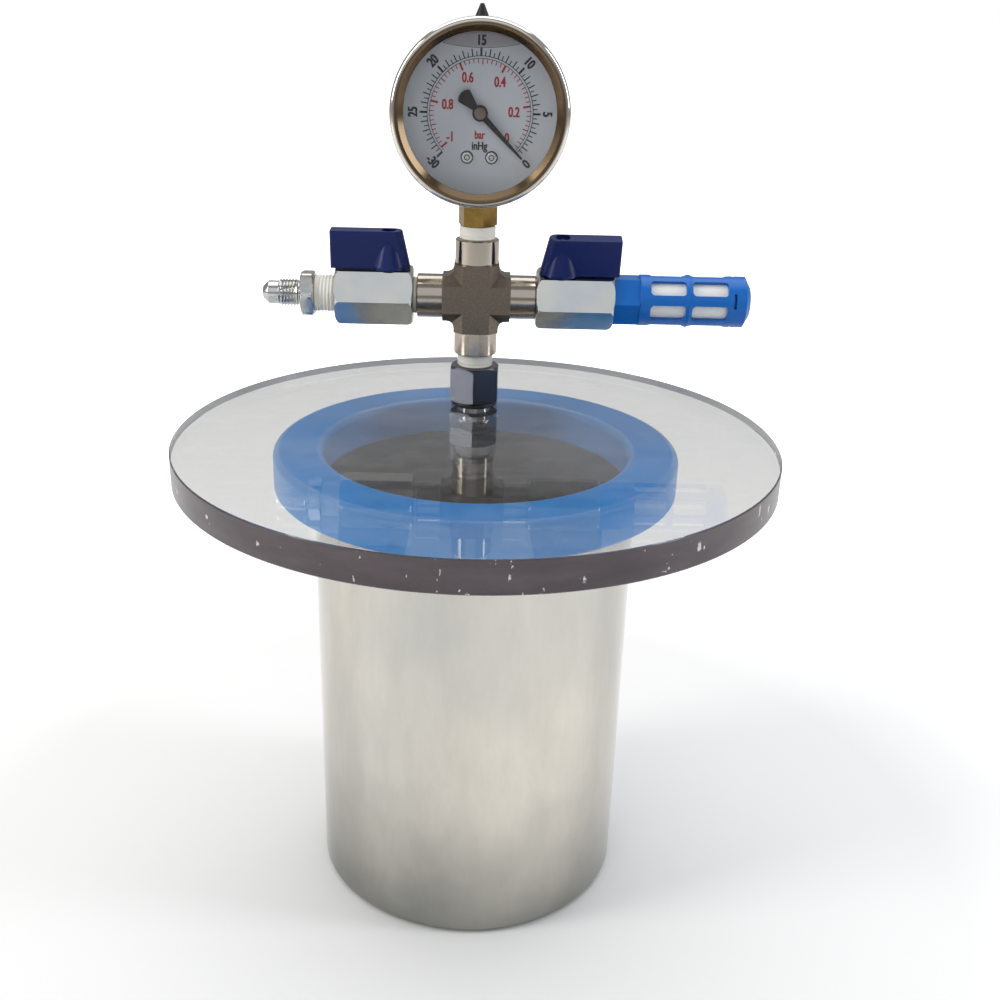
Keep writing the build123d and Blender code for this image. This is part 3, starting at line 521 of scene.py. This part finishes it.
def tape_profile(distance, length, seed, ridge):
    """The tape's radius by angle, at a distance along it."""
    end_round, end_drop, hollow = 0.5, 0.35, 0.18

    def radius(angle):
        turn = distance / wrap_pitch + angle / (2 * math.pi)
        wave = math.cos(2 * math.pi * turn)
        x, y = math.cos(angle) * lumps_around, math.sin(angle) * lumps_around
        lump = noise.noise(Vector((x, y, distance * lumps_along + seed * lump_shift))) * lump_height
        from_end = min(1.0, min(distance, length - distance) / end_round)
        swollen = tape_radius - ridge - hollow + ridge * wave + lump - end_drop * (1 - from_end) ** 2
        return min(tape_radius - skin, max(pipe_radius + thinnest, swollen))

    return radius


def wrap_tape(node, axis, ridge):
    low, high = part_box(node)
    half = Vector([abs(a) for a in axis]).dot(high - low) / 2
    start = (low + high) / 2 - Vector(axis) * half
    length = 2 * half / mm
    steps = max(8, int(length / ring_spacing))
    rings = []
    for step in range(steps + 1):
        distance = length * step / steps
        rings.append((distance, tape_profile(distance, length, len(node), ridge)))
    rings += [(length, pipe_radius + skin), (0.0, pipe_radius + skin)]
    turned(f"{node}_wrap", rings, start, axis, tape_white, node, segments=72)


up, leftward = (0, 0, 1), (-1, 0, 0)
wrap_tape("riser_tape", up, 0.04)
wrap_tape("gauge_tape", up, 0.04)
wrap_tape("left_valve_tape", leftward, 0.04)
wrap_tape("flare_tape", leftward, 0.13)

# ---- flare connector: taped thread, hexagon, neck, cut thread and a bored nose with its cone ----
bore_radius = 2.4
root_end, root_chamfer = -9.5, 0.4
hex_start, hex_end = 8.6, 14.3
hex_flats, hex_rim_inset = 17.0, 0.2
hex_turn, hex_chamfer_angle = math.radians(13), math.radians(30)
neck_radius = 4.6
thread_start, thread_end = 15.3, 23.5
crest, thread_depth, thread_pitch = 5.55, 0.66, 1.27
groove_share, groove_shape, steps_per_turn = 0.9, 0.8, 10
run_out, run_out_drop = 0.8, 0.35
nose_radius, nose_end, nose_draft = 4.75, 27.9, 0.03
nose_edge, nose_edge_drop = 0.3, 0.09
tip_radius, tip, tip_edge, tip_edge_drop = 2.55, 30.2, 0.25, 0.2


def hex_radius(limit):
    def radius(angle):
        around = (angle + hex_turn) % (math.pi / 3) - math.pi / 6
        return min(limit, hex_flats / 2 / math.cos(around))

    return radius


def thread_radius(distance):
    full = min(1.0, (distance - thread_start) / run_out, (thread_end - distance) / run_out)

    def radius(angle):
        phase = (distance / thread_pitch + angle / (2 * math.pi)) % 1.0
        groove = thread_depth * groove_share * abs(2 * phase - 1) ** groove_shape
        return crest - groove - run_out_drop * (1 - full)

    return radius


def cut_flare_connector():
    corner = hex_flats / math.sqrt(3)
    rim = hex_flats / 2 - hex_rim_inset
    chamfer = (corner - rim) * math.tan(hex_chamfer_angle)
    shares = (0.25, 0.5, 0.75, 1.0)
    rings = [(root_end, bore_radius), (root_end, pipe_radius - root_chamfer)]
    rings += [(root_end + root_chamfer, pipe_radius), (hex_start, pipe_radius), (hex_start, rim)]
    rings += [(hex_start + chamfer * s, hex_radius(rim + (corner - rim) * s)) for s in shares]
    rings += [(hex_end - chamfer * s, hex_radius(rim + (corner - rim) * s)) for s in reversed(shares)]
    rings += [(hex_end, rim), (hex_end, neck_radius), (thread_start, neck_radius)]
    steps = int((thread_end - thread_start) / thread_pitch * steps_per_turn)
    for step in range(steps + 1):
        distance = thread_start + (thread_end - thread_start) * step / steps
        rings.append((distance, thread_radius(distance)))
    rings += [(thread_end, nose_radius - nose_draft), (nose_end - nose_edge, nose_radius)]
    rings += [(nose_end, nose_radius - nose_edge_drop), (tip - tip_edge, tip_radius + tip_edge_drop)]
    rings += [(tip, tip_radius), (tip, bore_radius)]
    axis_point = middle_of("flare_tape")
    face = Vector((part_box("flare_tape")[1].x, axis_point.y, axis_point.z))
    turned("flare_connector_cut", rings, face, leftward, fitting_steel, "flare_connector")


cut_flare_connector()

# ---- dial print and painted shade, in millimetres from the dial's middle, x right and y up ----
dial_low, dial_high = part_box("gauge_dial")
dial_middle = (dial_low + dial_high) / 2


class Print:
    """Flat marks of one colour, gathered into one mesh: dial print, and painted shade."""

    def __init__(self):
        self.vertices = []
        self.faces = []

    def quad(self, corners):
        base = len(self.vertices)
        self.vertices += [Vector((x, y, 0)) for x, y in corners]
        self.faces.append((base, base + 1, base + 2, base + 3))

    def tick(self, degrees, inner, outer, width):
        angle = math.radians(degrees)
        out = Vector((math.cos(angle), math.sin(angle)))
        across = Vector((-out.y, out.x)) * width / 2
        self.quad([out * inner - across, out * outer - across, out * outer + across, out * inner + across])

    def arc(self, radius, width, start, end, steps=180):
        inner, outer = radius - width / 2, radius + width / 2
        for step in range(steps):
            a = math.radians(start + (end - start) * step / steps)
            b = math.radians(start + (end - start) * (step + 1) / steps)
            spots = ((inner, a), (outer, a), (outer, b), (inner, b))
            self.quad([(radius_here * math.cos(t), radius_here * math.sin(t)) for radius_here, t in spots])

    def ring(self, x, y, radius, width, steps=40):
        """A circle of painted shade with its middle at x, y."""
        first = len(self.vertices)
        self.arc(radius, width, 0, 360, steps)
        for vertex in self.vertices[first:]:
            vertex.x += x
            vertex.y += y

    def text(self, body, x, y, height, squeeze, turn=0.0, weight=0.0, spread=0.0):
        """Plain lettering, centred at x, y. Two layers, spread apart, make it bold."""
        cap_share, layer_gap = 0.7, 0.01
        curve = bpy.data.curves.new("lettering", "FONT")
        curve.body = body
        curve.size = height / cap_share
        curve.align_x = "CENTER"
        curve.align_y = "CENTER"
        curve.offset = weight
        holder = bpy.data.objects.new("lettering", curve)
        bpy.context.scene.collection.objects.link(holder)
        mesh = bpy.data.meshes.new_from_object(holder)
        for layer, shift in enumerate((-spread, spread)):
            place = (
                Matrix.Translation((x, y, layer_gap * layer))
                @ Matrix.Rotation(math.radians(turn), 4, "Z")
                @ Matrix.Translation((shift, 0, 0))
                @ Matrix.Diagonal((squeeze, 1, 1, 1))
            )
            base = len(self.vertices)
            self.vertices += [place @ v.co for v in mesh.vertices]
            self.faces += [tuple(base + i for i in p.vertices) for p in mesh.polygons]
        bpy.data.objects.remove(holder)
        bpy.data.curves.remove(curve)
        bpy.data.meshes.remove(mesh)

    def lay(self, name, mat, lift):
        """Makes the piece, lift millimetres off the dial's face."""
        upright = Matrix(((1, 0, 0, 0), (0, 0, -1, 0), (0, 1, 0, 0), (0, 0, 0, 1)))
        spot = Matrix.Translation((dial_middle.x, dial_low.y - lift * mm, dial_middle.z))
        matrix = spot @ upright @ Matrix.Scale(mm, 4)
        placed = [matrix @ v for v in self.vertices]
        piece(name, placed, self.faces, mat, "chamber")


zero_angle, full_sweep = -45.0, 270.0
full_scale_inches, inches_per_bar = 30.0, 29.53
ring_outer, ring_inner = 20.5, 19.6
number_radius = 25.9
screw_low, screw_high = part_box("gauge_dial_screws")
screw_radius = 2.1
screw_spread = (screw_high.x - screw_low.x) / 2 / mm - screw_radius
screw_level = ((screw_low.z + screw_high.z) / 2 - dial_middle.z) / mm
print_and_shadow_lift = 0.05


def print_ticks(ink, sweep, count, marks, start, outward):
    """Ticks from a ring at start. Each mark is (every, length, width), the rarest first."""
    for step in range(count + 1):
        length, width = next(mark[1:] for mark in marks if step % mark[0] == 0)
        inner, outer = sorted((start, start + outward * length))
        ink.tick(zero_angle + sweep * step / count, inner, outer, width)


def print_inches(ink):
    """The outer scale, whose numbers follow the ring, with its unit under the hub."""
    for radius, width in ((ring_outer, 0.28), (ring_inner, 0.22)):
        ink.arc(radius, width, zero_angle, zero_angle + full_sweep)
    print_ticks(ink, full_sweep, 60, ((10, 2.9, 0.8), (2, 2.7, 0.44), (1, 1.7, 0.38)), ring_outer, 1)
    for value in range(0, 31, 5):
        degrees = zero_angle + full_sweep * value / full_scale_inches
        x, y = (number_radius * f(math.radians(degrees)) for f in (math.cos, math.sin))
        last = value == full_scale_inches
        label = f"-{value}" if last else str(value)
        turn = degrees + 90 if last else degrees - 90
        ink.text(label, x, y, height=3.5, squeeze=0.74, turn=turn, weight=0.13, spread=0.11)
    ink.text("inHg", 0, -12.2, height=3.0, squeeze=0.76, weight=0.1, spread=0.06)


def print_bars(ink):
    """The inner scale, with upright numbers."""
    sweep = full_sweep * inches_per_bar / full_scale_inches
    print_ticks(ink, sweep, 50, ((10, 2.9, 0.8), (5, 2.1, 0.42), (1, 1.6, 0.36)), ring_inner, -1)
    for label, x, y in (
        ("0", 10.6, -9.2),
        ("0.2", 13.1, 0.4),
        ("0.4", 7.4, 11.2),
        ("0.6", -5.0, 12.6),
        ("0.8", -12.6, 2.8),
        ("-1", -11.4, -9.0),
    ):
        ink.text(label, x, y, height=3.6, squeeze=0.7, weight=0.11, spread=0.08)
    ink.text("bar", 0, -8.1, height=3.0, squeeze=0.72, weight=0.09, spread=0.05)


def print_dial():
    screw_shadow_radius, recess_shade_radius, line_width, recess_shade_lift = 2.3, 0.95, 0.42, 0.03
    black, red, recess_shade = Print(), Print(), Print()
    print_inches(black)
    print_bars(red)
    # Painted shadow: a black ring just outside each screw head. Painted shade: a dark ring on each head
    # where its recess lies.
    for side in (-1, 1):
        black.ring(side * screw_spread, screw_level, screw_shadow_radius, line_width)
        recess_shade.ring(side * screw_spread, screw_level, recess_shade_radius, line_width)
    head_height = (dial_low.y - screw_low.y) / mm
    recess_shade.lay("gauge_dial_screw_recess_shade", dark_line, head_height + recess_shade_lift)
    black.lay("dial_print_and_screw_shadow_black", black_ink_and_screw_shadow, print_and_shadow_lift)
    red.lay("dial_print_red", ink_red, print_and_shadow_lift)


def draw_bubble():
    """The filling's air bubble: painted shade, a darker lens laid on the dial near the top of the window,
    with a thin outline.
    """
    half_width, level, sag, rise = 14.6, 25.1, 1.5, 3.9
    line_width, steps = 0.22, 40
    shade_lift, outline_depth = 0.02, 0.4

    def curve_point(bend, step):
        u = 2 * step / steps - 1
        return u * half_width, level + bend * (1 - u * u)

    shade, outline = Print(), Print()
    for step in range(steps):
        lower = [curve_point(-sag, s) for s in (step, step + 1)]
        upper = [curve_point(rise, s) for s in (step + 1, step)]
        shade.quad(lower + upper)
    for bend in (-sag, rise):
        for step in range(steps):
            (x0, y0), (x1, y1) = (curve_point(bend, s) for s in (step, step + 1))
            half = line_width / 2
            outline.quad([(x0, y0 - half), (x1, y1 - half), (x1, y1 + half), (x0, y0 + half)])
    glass_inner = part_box("gauge_glass")[1].y
    shade.lay("gauge_bubble_shade", bubble_shade, shade_lift)
    outline.lay("gauge_bubble_line", dark_line, (dial_low.y - glass_inner) / mm - outline_depth)


print_dial()
draw_bubble()


# ---- floor, world and lights ----
def lay_floor():
    """White paper that brightens away from the object, so that it has no visible end."""
    reach, glow_start, glow_full = 20.0, 0.22, 0.8
    paper = material("floor", (243, 243, 242), 0.8)
    far = remap(paper, distance_from(paper, (0, 0, 0)), glow_start, glow_full, 0.0, 1.0)
    rays = new_node(paper, "ShaderNodeLightPath")
    glow = combine(paper, "MULTIPLY", far, rays.outputs["Is Camera Ray"])
    set_shader(paper, Emission_Color=(1, 1, 1, 1), Emission_Strength=glow)
    mesh = bpy.data.meshes.new("floor")
    corners = [(-reach, -reach, 0), (reach, -reach, 0), (reach, reach, 0), (-reach, reach, 0)]
    mesh.from_pydata(corners, [], [(0, 1, 2, 3)])
    mesh.materials.append(paper)
    floor = bpy.data.objects.new("floor", mesh)
    bpy.context.scene.collection.objects.link(floor)


def light_world():
    """A dim white world, shown bright behind the object."""
    lit, shown = 0.36, 1.05
    world = bpy.context.scene.world or bpy.data.worlds.new("world")
    bpy.context.scene.world = world
    world.use_nodes = True
    background = world.node_tree.nodes["Background"]
    background.inputs["Color"].default_value = linear((250, 250, 252))
    rays = new_node(world, "ShaderNodeLightPath")
    strength = remap(world, rays.outputs["Is Camera Ray"], 0, 1, lit, shown)
    feed(world, strength, background.inputs["Strength"])


def softbox(name, place, target, width, height, power, color):
    light = bpy.data.lights.new(name, "AREA")
    light.shape = "RECTANGLE"
    light.size = width
    light.size_y = height
    light.energy = power
    light.color = linear(color)[:3]
    obj = bpy.data.objects.new(name, light)
    bpy.context.scene.collection.objects.link(obj)
    obj.location = place
    aim = Vector(target) - Vector(place)
    obj.rotation_euler = aim.to_track_quat("-Z", "Y").to_euler()


lay_floor()
light_world()
bpy.context.scene.view_settings.view_transform = "Standard"
for name, place, target, width, height, power, color in (
    ("top_light", (0.0, 0.9, 3.0), (0, 0.4, 0), 3.6, 3.0, 62, (255, 255, 255)),
    ("front_light", (-0.2, -1.8, 1.35), (0, 0, 0.25), 2.2, 1.6, 6.5, (240, 249, 255)),
    ("left_light", (-1.5, -0.5, 1.0), (0, 0, 0.2), 0.5, 1.3, 13, (255, 251, 245)),
    ("right_light", (1.5, -0.2, 0.9), (0, 0, 0.2), 0.35, 1.2, 8, (248, 251, 255)),
):
    softbox(name, place, target, width, height, power, color)

# ---- camera, fitted to the photograph ----
focal_share, sensor_width = 1.22565, 36.0
camera_place = (0.0, -0.46744, 0.35561)
pitch_down, roll = math.radians(24.36), math.radians(1.27)

camera_data = bpy.data.cameras.new("camera")
camera_data.sensor_width = sensor_width
camera_data.lens = focal_share * sensor_width
camera_data.shift_x = 0.02665
camera_data.shift_y = 0.05717
camera_data.clip_start = 0.01
camera = bpy.data.objects.new("camera", camera_data)
bpy.context.scene.collection.objects.link(camera)
camera.matrix_world = (
    Matrix.Translation(camera_place)
    @ Matrix.Rotation(math.pi / 2 - pitch_down, 4, "X")
    @ Matrix.Rotation(roll, 4, "Z")
)
bpy.context.scene.camera = camera
